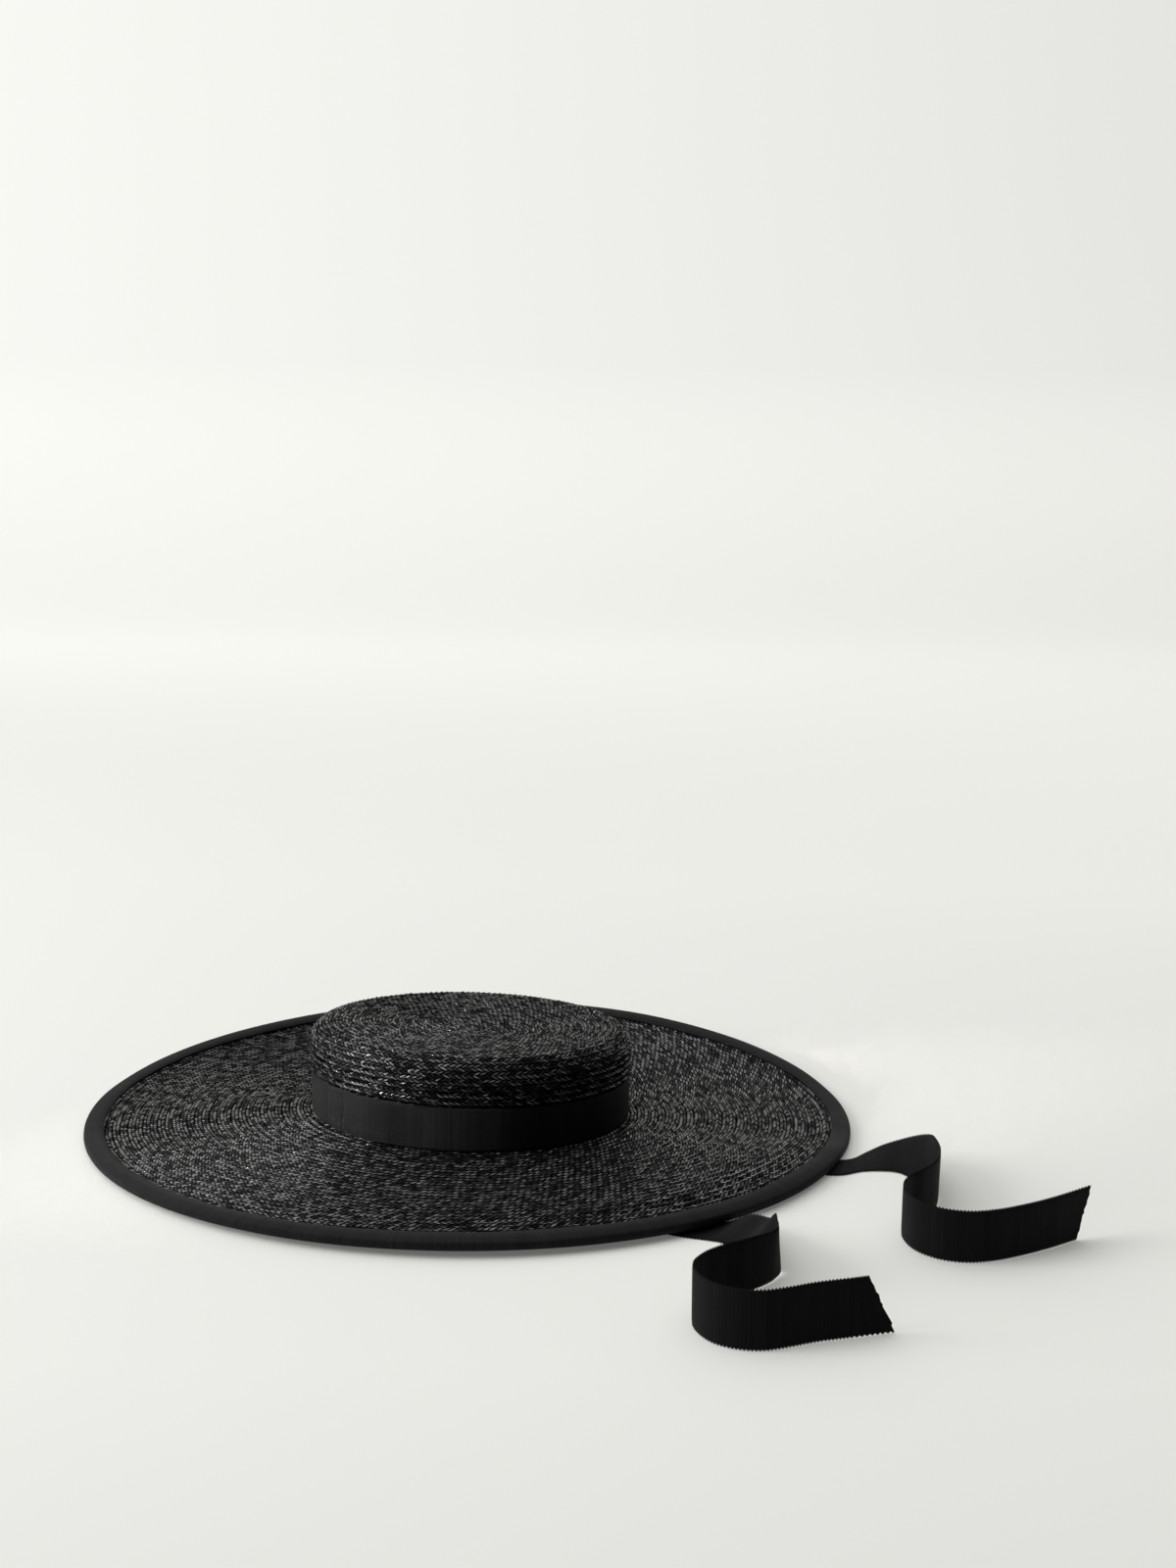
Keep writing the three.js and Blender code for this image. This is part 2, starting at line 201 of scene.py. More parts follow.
def tie_path(rows, spacing):
    """The middle of the ribbon and its width direction, at equal steps along its length. The
    middle is as high as its lift, plus half the thickness times the cosine of the stand, plus
    half the width times its sine, so the lower edge rests on the table."""
    x, y, lift, face, stand = rows.T
    face, stand = np.radians(face), np.radians(stand)
    flat_part = cad_tie_thickness / 2 * np.abs(np.cos(stand))
    middle_z = lift + flat_part + tie_width / 2 * np.sin(stand)
    middles = np.stack([x, y, middle_z], 1)
    widths = np.stack(
        [np.cos(stand) * np.cos(face), np.cos(stand) * np.sin(face), np.sin(stand)], 1
    )
    fine = np.linspace(0, len(rows) - 1, path_fineness * len(rows))
    path = smooth_path(middles, fine, 0.5)
    along = np.concatenate([[0], np.cumsum(np.linalg.norm(np.diff(path, axis=0), axis=1))])
    wanted = np.linspace(0, along[-1], int(along[-1] / spacing) + 1)
    at = np.interp(wanted, along, fine)
    return smooth_path(middles, at, 0.5), unit(smooth_path(widths, at, 0)), wanted


# %% [markdown]
# Grosgrain has fat cross threads, so it is ribbed across its width, and its edges are a row of
# tiny scallops where those threads turn back. The ribs are real relief here. The raw end
# frays a little between its ribs, so its edge is toothed.

# %% Ribbons carried along their paths
rib_pitch = 1.9
rib_steps = 4
tie_columns = 13
scallop_depth = 0.45
rib_depth = 0.07
edge_thinning = 0.45
fray_reach = 16
fray_random, fray_regular = 0.7, 0.5


def tie_mesh(name, rows, slant, seed):
    """A flat loop of points carried along the path. Across the ribbon the offset is v times
    half the width, v from -1 to 1, on the front and back to -1 on the back. The ribs lift the
    surface by a cosine of the length, and pull the edges in by the same cosine. Near the cut
    end the points slide along the ribbon, by the slant times v and by the teeth of the fray."""
    middle, width, along = tie_path(rows, rib_pitch / rib_steps)
    tangent = unit(np.gradient(middle, axis=0))
    through = unit(np.cross(tangent, width))
    rib = np.cos(2 * pi * along / rib_pitch)
    v = np.linspace(-1, 1, tie_columns)
    loop_v = np.concatenate([v, v[::-1]])
    side = np.concatenate([np.ones(tie_columns), -np.ones(tie_columns)])
    edge = np.abs(loop_v) ** 12
    half_width = tie_width / 2 - scallop_depth * (1 - rib[:, None]) * edge
    half_thick = tie_thickness / 2 * (1 - edge_thinning * edge) - rib_depth * (1 - rib[:, None])
    grid = (
        middle[:, None]
        + width[:, None] * (loop_v * half_width)[..., None]
        + through[:, None] * (side * half_thick)[..., None]
    )
    rng = np.random.default_rng(seed)
    teeth = fray_random * rng.uniform(-1, 1, tie_columns)
    teeth = teeth + fray_regular * (-1.0) ** np.arange(tie_columns)
    reach = (np.concatenate([teeth, teeth[::-1]]) - slant / 2 * loop_v)[None, :, None]
    fade = np.clip(1 - (along[-1] - along) / fray_reach, 0, 1)[:, None, None]
    grid = grid + tangent[:, None] * reach * fade
    ends = [grid[:1].mean(axis=1, keepdims=True), grid[-1:].mean(axis=1, keepdims=True)]
    grid = np.concatenate([ends[0] + 0 * grid[:1], grid, ends[1] + 0 * grid[-1:]])
    length_uv = np.concatenate([[along[0]], along, [along[-1]]]) / rib_pitch
    uv = np.stack(np.broadcast_arrays(length_uv[:, None], np.append(loop_v, -1)[None]), -1)
    mesh = surface(name, grid * MM, uv, close_columns=True)
    return mesh, middle * MM, along[-1] * MM


near_slant, far_slant = 14, -11
first_seed = 3
tie_pieces = []
for tie_name, tie_rows, slant in (
    ("ribbon_near", tie_near_rows, near_slant),
    ("ribbon_far", tie_far_rows, far_slant),
):
    seed = len(tie_pieces) + first_seed
    mesh, middle, length = tie_mesh(tie_name, tie_rows, slant, seed)
    ribbon = add_piece(tie_name, [mesh], [tie_name.replace("ribbon", "tie")])
    tie_pieces.append(ribbon)
    print(tie_name, "is", round(length, 3), "m long")

# %% [markdown]
# ## The oval, and the surfaces that the braid is sewn along
# Round the head the hat is an oval. Its crown rises from the seat, turns over a rounded edge
# and runs to the middle of the top. The braid's rows lie side by side along these surfaces, so
# each surface is a function of the turn round the oval and the distance across the rows.

# %% The crown's surface
head_x, head_y = 97.0, 81.0
crown_height, seat_height = 56.0, 6.45
edge_depth, edge_reach = 14.0, 11.0
crown_reach = 4.8
crown_wall = 2.5
band_top = 26.8
seat_lean = (-0.0225, -0.005)
top_lean = (-0.022, -0.022)
seed_half_length, seed_turn = 18.0, radians(-28)
top_dish = 3.5
top_run = 75.0
edge_points, top_points = 24, 60


def crown_profile():
    """The section of the crown's wall in the middle of its thickness. The wall stands straight
    behind the band and steps out over it, the edge is a quarter ellipse, and the top runs
    from share 1 at the edge to 0 in the middle. Returns the distance along the section, the
    reach outside the head, the height, the share, and the distance where the top begins."""
    half = crown_wall / 2
    bend = np.linspace(0, pi / 2, edge_points)
    top_reach = crown_reach - edge_reach
    wall_reach = np.array([crown_wall, crown_wall, crown_reach - 0.2]) - half
    wall_height = np.array([0.3, band_top - 0.6, band_top + 1.1])
    edge_height = crown_height - edge_depth + (edge_depth - half) * np.sin(bend)
    reach = np.concatenate([
        wall_reach,
        top_reach + (edge_reach - half) * np.cos(bend),
        np.full(top_points, top_reach),
    ])
    height = np.concatenate([wall_height, edge_height, np.full(top_points, crown_height - half)])
    before_top = len(wall_reach) + edge_points
    share = np.concatenate([np.ones(before_top), np.linspace(1, 0, top_points + 1)[1:]])
    steps = np.hypot(np.diff(reach), np.diff(height)) + top_run * np.abs(np.diff(share))
    run = np.concatenate([[0], np.cumsum(steps)])
    return run, reach, height, share, run[before_top - 1]


crown_run, crown_reaches, crown_heights, crown_shares, top_start = crown_profile()


def lean_lift(x, y, height):
    """How far the lean of the seat and of the top lifts a point: a slope times x plus a slope
    times y, where each slope changes evenly from the seat's to the top's with the height."""
    up = height / crown_height
    lean_x = seat_lean[0] + (top_lean[0] - seat_lean[0]) * up
    lean_y = seat_lean[1] + (top_lean[1] - seat_lean[1]) * up
    return lean_x * x + lean_y * y


def crown_surface(turn, run):
    """A point of the crown: an oval of the profile's reach while it is on the wall, and on the
    top a mix of the edge's oval with a short seed line in the middle, where the braid starts.
    The top sinks by dish times (1 - r squared) squared."""
    reach = np.interp(run, crown_run, crown_reaches)
    height = np.interp(run, crown_run, crown_heights)
    share = np.interp(run, crown_run, crown_shares)
    seed = seed_half_length * np.cos(turn - seed_turn) * (1 - share)
    x = share * (head_x + reach) * np.cos(turn) + seed * np.cos(seed_turn)
    y = share * (head_y + reach) * np.sin(turn) + seed * np.sin(seed_turn)
    top_x = head_x + crown_reach - edge_reach
    top_y = head_y + crown_reach - edge_reach
    radius = np.hypot(x / top_x, y / top_y)
    dish = np.where(run > top_start, top_dish * np.clip(1 - radius**2, 0, 1) ** 2, 0)
    return np.stack([x, y, seat_height + height - dish + lean_lift(x, y, height)], -1)


print("crown section is", round(crown_run[-1], 1), "mm long")

# %% [markdown]
# The brim isn't flat: it rises at the back and a little at the front, and its edge droops. Its
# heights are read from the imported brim, whose mesh is rings of points, and filled in between.

# %% The brim's surface
brim_x, brim_y = 239.1, 223.3
brim_width = (brim_x - head_x + brim_y - head_y) / 2
brim_turns = 80
share_rounds = 40


def brim_rings():
    """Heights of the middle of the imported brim: one row for each ring from the headline to
    the edge, one column for each turn. A point's share of the way out is found in rounds: each
    one adds the share by which the point lies outside the oval of the last guess. The height
    is the mean of the points above and below that share the ring and the turn."""
    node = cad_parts["brim"].data
    points = np.empty(3 * len(node.vertices), np.float32)
    node.vertices.foreach_get("co", points)
    points = np.unique(np.round(points.reshape(-1, 3) / MM, 3), axis=0)
    guess = np.full(len(points), 0.5)
    for _ in range(share_rounds):
        long_side = head_x + guess * (brim_x - head_x)
        short_side = head_y + guess * (brim_y - head_y)
        off = np.hypot(points[:, 0] / long_side, points[:, 1] / short_side) - 1
        guess = guess + off * long_side / (brim_x - head_x)
    turn = np.arctan2(points[:, 1] / short_side, points[:, 0] / long_side)
    column = np.round(turn / (2 * pi) * brim_turns).astype(int) % brim_turns
    ring_shares, ring = np.unique(np.round(guess, 3), return_inverse=True)
    total = np.zeros((len(ring_shares), brim_turns))
    found = np.zeros_like(total)
    np.add.at(total, (ring, column), points[:, 2])
    np.add.at(found, (ring, column), 1)
    full = found.min(axis=1) >= 2
    return ring_shares[full], (total / np.maximum(found, 1))[full]


ring_shares, ring_heights = brim_rings()
print(len(ring_shares), "rings of the brim, shares", ring_shares)


def brim_surface(turn, run):
    """A point of the brim: an oval that grows from the head's to the edge's with the run, with
    its height a cubic between turns and a straight line between rings."""
    share = run / brim_width
    x = (head_x + share * (brim_x - head_x)) * np.cos(turn)
    y = (head_y + share * (brim_y - head_y)) * np.sin(turn)
    at = (turn / (2 * pi) * brim_turns) % brim_turns
    column = at.astype(int)
    w = at - column
    ring = np.clip(np.searchsorted(ring_shares, share, side="right") - 1, 0, len(ring_shares) - 2)
    q = (share - ring_shares[ring]) / (ring_shares[ring + 1] - ring_shares[ring])
    taps = [
        ring_heights[ring, (column + k) % brim_turns] * (1 - q)
        + ring_heights[ring + 1, (column + k) % brim_turns] * q
        for k in (-1, 0, 1, 2)
    ]
    z = (
        taps[1]
        + 0.5 * w * (taps[2] - taps[0])
        + w**2 * (taps[0] - 2.5 * taps[1] + 2 * taps[2] - 0.5 * taps[3])
        + w**3 * (1.5 * (taps[1] - taps[2]) + 0.5 * (taps[3] - taps[0]))
    )
    return np.stack([x, y, z], -1)


# %% [markdown]
# ## The sewn braid
# The braid is a flat plait a few millimetres wide. Its strands cross from edge to edge, so each
# half of a row shows a column of slanting lozenges. Each row overlaps the one inside it like a
# shingle. Every strand could be modelled alone, but there are thousands, so the mesh gives the
# row's section and its beads, and the finish draws the strands. A closed ring for each row
# looks the same as the real spiral, which drifts by one row in a turn, and has no ends.

# %% One ring of braid
plait_pitch = 3.6
row_overlap = 1.14
braid_v = np.array([-1, -0.5, 0, 0.5, 1, 0.55, -0.1, -0.62])
braid_side = np.array([1, 1, 1, 1, 1, -1, -1, -1])
braid_thickness = 2.1
braid_edge_thinning = 0.4
bead_height = 0.85
bead_unevenness = 0.35
strand_slant = 1.2
row_wander = 0.12
wander_waves = (3, 7, 13, 29)
turn_step, run_step = 0.002, 0.2
turn_samples = 721
braid_seed = 5


def braid_ring(at_surface, run, row_pitch, start, lean):
    """A closed ring of braid on a surface, centred at a distance across the rows. The section
    is a lens, half its thickness times (1 - 0.4 v squared), that tips by lean times v. On its
    outer face the plait's beads rise and fall in turn along the row, half a plait apart on its
    two sides, and no two are quite alike. The row wanders a little, by a few slow sines of the
    turn. Returns the grid, its UV map and how many plaits it has."""
    rng = np.random.default_rng(int(start) + braid_seed)
    turn = np.linspace(0, 2 * pi, turn_samples)
    line = at_surface(turn, np.full_like(turn, run))
    length = np.concatenate([[0], np.cumsum(np.linalg.norm(np.diff(line, axis=0), axis=1))])
    plaits = max(4, int(round(length[-1] / plait_pitch)))
    step = np.arange(2 * plaits)
    turns = np.interp((0.5 * step + 0.25) / plaits * length[-1], length, turn)[:, None]
    half = row_overlap * row_pitch / 2
    wander = sum(
        row_wander * np.sin(waves * turns + rng.uniform(0, 2 * pi)) for waves in wander_waves
    )
    across = run + wander + half * braid_v[None, :]
    points = at_surface(turns + 0 * across, across + 0 * turns)
    ahead = at_surface(turns + turn_step + 0 * across, across + 0 * turns)
    outward = at_surface(turns + 0 * across, across + run_step + 0 * turns)
    normal = unit(np.cross(ahead - points, outward - points))
    bead = np.where(np.abs(np.abs(braid_v) - 0.5) < 0.01, 1, 0) * (braid_side > 0)
    wave = -((-1.0) ** step[:, None]) * np.sign(braid_v)[None, :]
    wave = wave + rng.normal(0, bead_unevenness, wave.shape)
    lens = braid_thickness / 2 * (1 - braid_edge_thinning * braid_v**2)
    lens = lens - 0.1 * np.abs(braid_v) ** 8
    offset = braid_side * lens + lean * braid_v + bead_height / 2 * bead * wave
    grid = points + normal * offset[..., None]
    u = start + 1 + (0.5 - strand_slant / 2) + 0.5 * np.arange(2 * plaits + 1)
    uv = np.stack(np.broadcast_arrays(u[:, None], np.append(braid_v, -1)[None]), -1)
    return grid, uv, plaits


def sew(name, at_surface, runs, row_pitch, start, lean):
    """One mesh for each row. The plait count runs on from row to row, so that every lozenge
    has its own number. Returns the meshes and the next free number."""
    meshes = []
    for run in runs:
        grid, uv, plaits = braid_ring(at_surface, run, row_pitch, start, lean)
        meshes.append(surface(name, grid * MM, uv, close_rows=True, close_columns=True))
        start += plaits + 2
    return meshes, start


# %% [markdown]
# The brim takes 31 rows and the crown 34, seven of them hidden behind the band. The brim is
# kept as two pieces, so that neither is a very large mesh.

# %% Crown and brim rows
brim_lean, crown_lean = 0.26, 0.2
brim_row_pitch = 4.5
first_brim_row = 2.65
brim_rows, inner_rows = 31, 20
brim_runs = np.arange(brim_rows) * brim_row_pitch + first_brim_row
seen_crown_rows, rows_behind_band = 27, 7
crown_row_pitch = (crown_run[-1] - band_top) / seen_crown_rows
row_numbers = np.arange(seen_crown_rows + rows_behind_band) + 0.5 - rows_behind_band
crown_runs = np.maximum(band_top + crown_row_pitch * row_numbers, crown_row_pitch / 2)

meshes, plait_count = sew(
    "inner_brim", brim_surface, brim_runs[:inner_rows], brim_row_pitch, 0, brim_lean
)
inner_brim = add_piece("inner_brim", meshes, ["brim"])
meshes, plait_count = sew(
    "outer_brim", brim_surface, brim_runs[inner_rows:], brim_row_pitch, plait_count, brim_lean
)
outer_brim = add_piece("outer_brim", meshes)
meshes, plait_count = sew(
    "braided_crown", crown_surface, crown_runs, crown_row_pitch, plait_count, crown_lean
)
braided_crown = add_piece("braided_crown", meshes, ["crown"])
print("plaits in all:", plait_count)

# %% [markdown]
# ## The hat band
# A ribbon wound once round the crown's foot, with its end lapped over its start and tacked
# down at the left of the front. Its ribs stand upright. It could be cut out of the crown's own
# mesh, but as a ring of its own it has a real edge that stands off the straw.

# %% Rings of ribbed ribbon
def ribbed_turns(ribs):
    """Equal steps of the turn round a ring, a few to each rib, and the ribs' cosine wave."""
    step = np.arange(ribs * rib_steps)
    turn = (2 * pi * step / len(step))[:, None]
    rib = np.cos(2 * pi * step / rib_steps)[:, None]
    return turn, rib


def ring_mesh(name, x, y, z):
    """A ring closed both ways: one row for each step of the turn, one column for each point of
    the section. In the UV map u counts ribs and v runs from -1 to 1 round the section."""
    steps, columns = z.shape
    u = np.arange(steps + 1) / rib_steps
    v = np.linspace(-1, 1, columns + 1)
    uv = np.stack(np.broadcast_arrays(u[:, None], v[None]), -1)
    return surface(name, np.stack([x, y, z], -1) * MM, uv, close_rows=True, close_columns=True)


# %% Band
band_inset = 2.8
band_ribs, band_rib_depth = 338, 0.05
band_ripple, ripple_start = 0.12, 20
lap_turn, lap_length = radians(222), radians(9)
lap_rise = 0.7


def band_surface():
    """A ring on the crown's foot: the section is a thin loop from the seat to the top of the
    band. The reach has ribs by a cosine of the turn, and a ramp that rises to most of one
    ribbon's thickness where the end laps over the start, then drops."""
    turn, rib = ribbed_turns(band_ribs)
    section = np.array([(0, 0.35), (0.75, 0.45), (0.9, 2.2), (0.9, 9), (0.9, 18), (0.9, 24.6),
                        (0.75, 26.35), (0, 26.45), (0, 18), (0, 9)])
    out, level = section.T
    before_lap = (lap_turn - turn) % (2 * pi)
    lap = lap_rise * np.clip(1 - before_lap / lap_length, 0, 1) ** 0.35
    reach = band_inset + out * (1 + lap) + band_rib_depth * rib * (out > 0.5)
    x = (head_x + reach) * np.cos(turn)
    y = (head_y + reach) * np.sin(turn)
    ripple = band_ripple * np.sin(3 * turn + 1) * (level > ripple_start)
    z = seat_height + level + lean_lift(x, y, level) + ripple
    return ring_mesh("band", x, y, z)


band = add_piece("ribbon_band", [band_surface()], ["hat_band"])

# %% [markdown]
# ## The binding
# A ribbon folded over the raw edge of the braid and stitched through. It hugs the straw, so its
# section is a soft nose with two flat lips, and its ribs run across the edge. A bevelled curve
# would do for a flat brim, but this edge dips and rises, so the section follows the brim.

# %% Binding
binding_width = 10.5
binding_half = 2.45
nose_reach, nose_points = 1.3, 7
binding_ribs, binding_rib_share = 826, 0.022


def binding_surface():
    """A closed channel carried round the edge: out is measured from the straw's edge, up from
    its middle, and the whole section tilts with the brim. The ribs move it in and out of the
    ribbon's face by a cosine, and the inner edge drifts by three slow sines."""
    turn, rib = ribbed_turns(binding_ribs)
    nose = np.linspace(-pi / 2, pi / 2, nose_points)
    outer = np.concatenate([
        [(-binding_width, -1.75), (-binding_width + 0.5, -2.4), (-5, -binding_half)],
        np.stack([nose_reach * np.cos(nose), binding_half * np.sin(nose)], 1),
        [(-5, binding_half), (-binding_width + 0.5, 2.4), (-binding_width, 1.75)],
    ])
    section = np.concatenate([outer, [(-5, 1.6), (0.3, 1.5), (0.3, -1.5), (-5, -1.6)]])
    out, up = section.T
    on_face = np.concatenate([np.ones(len(outer)), np.zeros(4)])
    drift = 0.35 * np.sin(5 * turn) + 0.25 * np.sin(17 * turn + 2) + 0.12 * np.sin(41 * turn)
    out = out + drift * (out < -9)
    face = 1 - binding_rib_share * (1 - rib) * on_face
    edge = brim_surface(turn, np.full_like(turn, brim_width))
    inner = brim_surface(turn, np.full_like(turn, brim_width - binding_width))
    slope = (edge - inner)[..., 2] / binding_width
    x = (brim_x + out) * np.cos(turn)
    y = (brim_y + out) * np.sin(turn)
    z = edge[..., 2] + out * slope + up * face
    return ring_mesh("binding", x, y, z)


binding = add_piece("ribbon_binding", [binding_surface()], ["brim_binding"])

# %% [markdown]
# ## Writing shader maths as Python
# A finish could be wired by hand in the node editor, but a pattern is a formula and reads better
# as one. This small class wraps a socket, so that an expression such as 1 - mask * 2 adds the
# Math nodes for it.

# %% Shader helper
class Wire:
    """A node tree's socket that can be used in expressions."""

    def __init__(self, tree, socket):
        self.tree = tree
        self.socket = socket

    def feed(self, made, **inputs):
        """Gives a node's sockets their values or links. A socket goes by its label, with _ for
        each space, or by its number, as in _0."""
        for key, value in inputs.items():
            place = int(key[1:]) if key[1:].isdigit() else key.replace("_", " ")
            if isinstance(value, Wire):
                self.tree.links.new(value.socket, made.inputs[place])
            else:
                made.inputs[place].default_value = value

    def node(self, kind, settings=None, **inputs):
        """Adds a node: its settings first, then the values or links of its sockets."""
        made = self.tree.nodes.new(kind)
        for key, value in (settings or {}).items():
            setattr(made, key, value)
        self.feed(made, **inputs)
        return made

    def out(self, kind, settings=None, output=0, **inputs):
        """Adds a node and gives one of its outputs as a wire."""
        return Wire(self.tree, self.node(kind, settings, **inputs).outputs[output])

    def math(self, operation, *values):
        """The result of a Math node."""
        inputs = {f"_{i}": value for i, value in enumerate(values)}
        return self.out("ShaderNodeMath", {"operation": operation}, **inputs)

    def __add__(self, other):
        return self.math("ADD", self, other)

    def __radd__(self, other):
        return self.math("ADD", other, self)

    def __sub__(self, other):
        return self.math("SUBTRACT", self, other)

    def __rsub__(self, other):
        return self.math("SUBTRACT", other, self)

    def __mul__(self, other):
        return self.math("MULTIPLY", self, other)

    def __rmul__(self, other):
        return self.math("MULTIPLY", other, self)

    def __pow__(self, other):
        return self.math("POWER", self, other)

    def __abs__(self):
        return self.math("ABSOLUTE", self)

    def sine(self):
        return self.math("SINE", self)

    def cosine(self):
        return self.math("COSINE", self)

    def floor(self):
        return self.math("FLOOR", self)

    def at_least(self, level):
        return self.math("MAXIMUM", self, level)

    def at_most(self, level):
        return self.math("MINIMUM", self, level)

    def climb(self, low, high, kind="LINEAR"):
        """0 below low, 1 above high, and a climb from one to the other between them."""
        return self.out(
            "ShaderNodeMapRange", {"interpolation_type": kind},
            Value=self, From_Min=low, From_Max=high,
        )

    def shade(self, stops):
        """A colour that runs through the stops, each a place from 0 to 1 and its colour."""
        made = self.node("ShaderNodeValToRGB", _0=self)
        ramp = made.color_ramp
        while len(ramp.elements) < len(stops):
            ramp.elements.new(1)
        for element, (place, colour) in zip(ramp.elements, stops):
            element.position = place
            element.color = colour
        return Wire(self.tree, made.outputs[0])


def new_material(name):
    """A material with one Principled shader, and a wire to start expressions from."""
    material = bpy.data.materials.new(name)
    material.use_nodes = True
    tree = material.node_tree
    return material, tree.nodes["Principled BSDF"], Wire(tree, None)


def follow(start):
    """The u and v of the surface's own grid."""
    place = start.out("ShaderNodeUVMap", {"uv_map": "Follow"})
    parts = start.node("ShaderNodeSeparateXYZ", _0=place)
    return Wire(start.tree, parts.outputs[0]), Wire(start.tree, parts.outputs[1])


def dress(pieces, finish):
    """Gives pieces their only material."""
    for piece in pieces:
        piece.data.materials.clear()
        piece.data.materials.append(finish)
    print(finish.name, "has", len(finish.node_tree.nodes), "nodes")


# %% [markdown]
# ## Dyed straw
# Each lozenge is a flat bent straw with a glossy skin, so each catches the light on its own.
# The pattern follows the braid: u counts plaits along the row and v goes across it. A picture of
# straw could be laid on, but its scale and its light would be fixed, and this one fits each row.
# Every strand gets its own tone, gloss and tilt from a noise that reads its number. Its colour
# also carries painted shade, darker at its ends and between the strands and lighter on its
# crest, and the brightest strands are partly painted sheen.

# %% Straw material
straw_black = (0.0015, 0.0015, 0.002, 1)
# The ramp's bright stops, up to 0.22 on black straw, are partly painted sheen: light strands that
# stand in for the glints of the glossy skin.
straw_tones_and_painted_sheen = [
    (0.0, straw_black),
    (0.3, (0.007, 0.007, 0.0085, 1)),
    (0.6, (0.036, 0.036, 0.04, 1)),
    (0.9, (0.22, 0.215, 0.2, 1)),
]
straw_tilt_along, straw_tilt_across = 3.2, 2.4
straw_relief = 0.0009
straw_coat, straw_coat_roughness = 0.5, 0.22
gap_edge, straw_edge = 0.35, 0.7


def straw_material():
    """The ridge of a strand is a sine of the slanting coordinate a, which is u plus a share of
    the distance from the row's middle, and its two ends sink by a sine of v. Their product is
    the strand's body. Height follows the body, the strand's own random number and a fine noise
    of fibres. Colour is the random number and the fibres times painted shade from the body,
    darker at the strand's ends and lighter on its crest. Between the strands a black without
    gloss shows as painted shade, and it also covers most of each dull strand."""
    material, shader, start = new_material("dyed_straw")
    tree = start.tree
    u, v = follow(start)
    half = v.math("GREATER_THAN", v, 0.0)
    a = u + 0.5 * half + strand_slant * abs(v)
    strand = a.floor()
    ridge = ((a - strand) * pi).sine()
    pillow = (abs(v) * pi).sine().at_least(0.0)
    number = start.out("ShaderNodeCombineXYZ", _0=strand, _1=half * 7.0 + 1.0, _2=3.0)
    noise = start.node("ShaderNodeTexWhiteNoise", {"noise_dimensions": "3D"}, Vector=number)
    each = Wire(tree, noise.outputs["Value"])
    split = start.node("ShaderNodeSeparateColor", _0=Wire(tree, noise.outputs["Color"]))
    second, third = Wire(tree, split.outputs[1]), Wire(tree, split.outputs[2])
    fibre_place = start.out(
        "ShaderNodeCombineXYZ", _0=(u - 0.5 * abs(v)) * 1.2, _1=a * 12.0, _2=each * 9.0
    )
    fibre = start.out("ShaderNodeTexNoise", Vector=fibre_place, Scale=1.0, Detail=2.0)
    height = (
        (ridge ** 0.6) * (pillow ** 0.5) * (0.8 + 0.5 * each)
        + fibre * 0.15
        + (a - strand - 0.5) * (second - 0.5) * straw_tilt_along
        + (abs(v) - 0.5) * (third - 0.5) * straw_tilt_across
    )
    bump = start.out("ShaderNodeBump", Strength=1.0, Distance=straw_relief, Height=height)
    # Colour: the strand's random tone and its fibres, times painted shade that darkens the strand's
    # ends and lightens its crest.
    tone_and_painted_relief_shade = (each * 0.75 + 0.25 * fibre) * (0.2 + 0.8 * ridge * pillow)
    start.feed(
        shader,
        Base_Color=tone_and_painted_relief_shade.shade(straw_tones_and_painted_sheen), Roughness=0.17 + 0.22 * third + 0.1 * fibre,
        Normal=bump, Specular_IOR_Level=1.0,
        Coat_Weight=straw_coat, Coat_Roughness=straw_coat_roughness,
    )
    # Painted shade: a black without gloss is mixed in between the strands, where they would shade
    # each other, and over most of each dull strand.
    body = (ridge * (pillow ** 0.5)).climb(gap_edge, straw_edge, "SMOOTHSTEP")
    painted_gap_shade_and_dullness = (1 - body * (0.16 + 1.8 * each * each * (0.5 + fibre))).at_least(0.0)
    painted_shade_black = start.out(
        "ShaderNodeBsdfPrincipled", Base_Color=straw_black, Roughness=0.9, Specular_IOR_Level=0.0
    )
    mixed = start.out("ShaderNodeMixShader", _0=painted_gap_shade_and_dullness, _1=Wire(tree, shader.outputs[0]), _2=painted_shade_black)
    start.feed(tree.nodes["Material Output"], Surface=mixed)
    return material


dress((inner_brim, outer_brim, braided_crown), straw_material())

# %% [markdown]
# ## Grosgrain
# The ribs are already in the mesh, because they show in the outline. The finish adds what is too
# fine for a mesh: the warp threads that run over the ribs, a dull black with a faint sheen, and
# ribs that aren't all dyed alike. The ties' colour is multiplied by a smaller depth than the
# ribbon sewn to the straw, so they are darker.

# %% Grosgrain material
ribbon_shades = [(0.0, (0.0015, 0.0015, 0.0018, 1)), (1.0, (0.02, 0.02, 0.022, 1))]
ribbon_relief = 0.00025
ribbon_sheen, ribbon_sheen_roughness = 0.03, 0.4


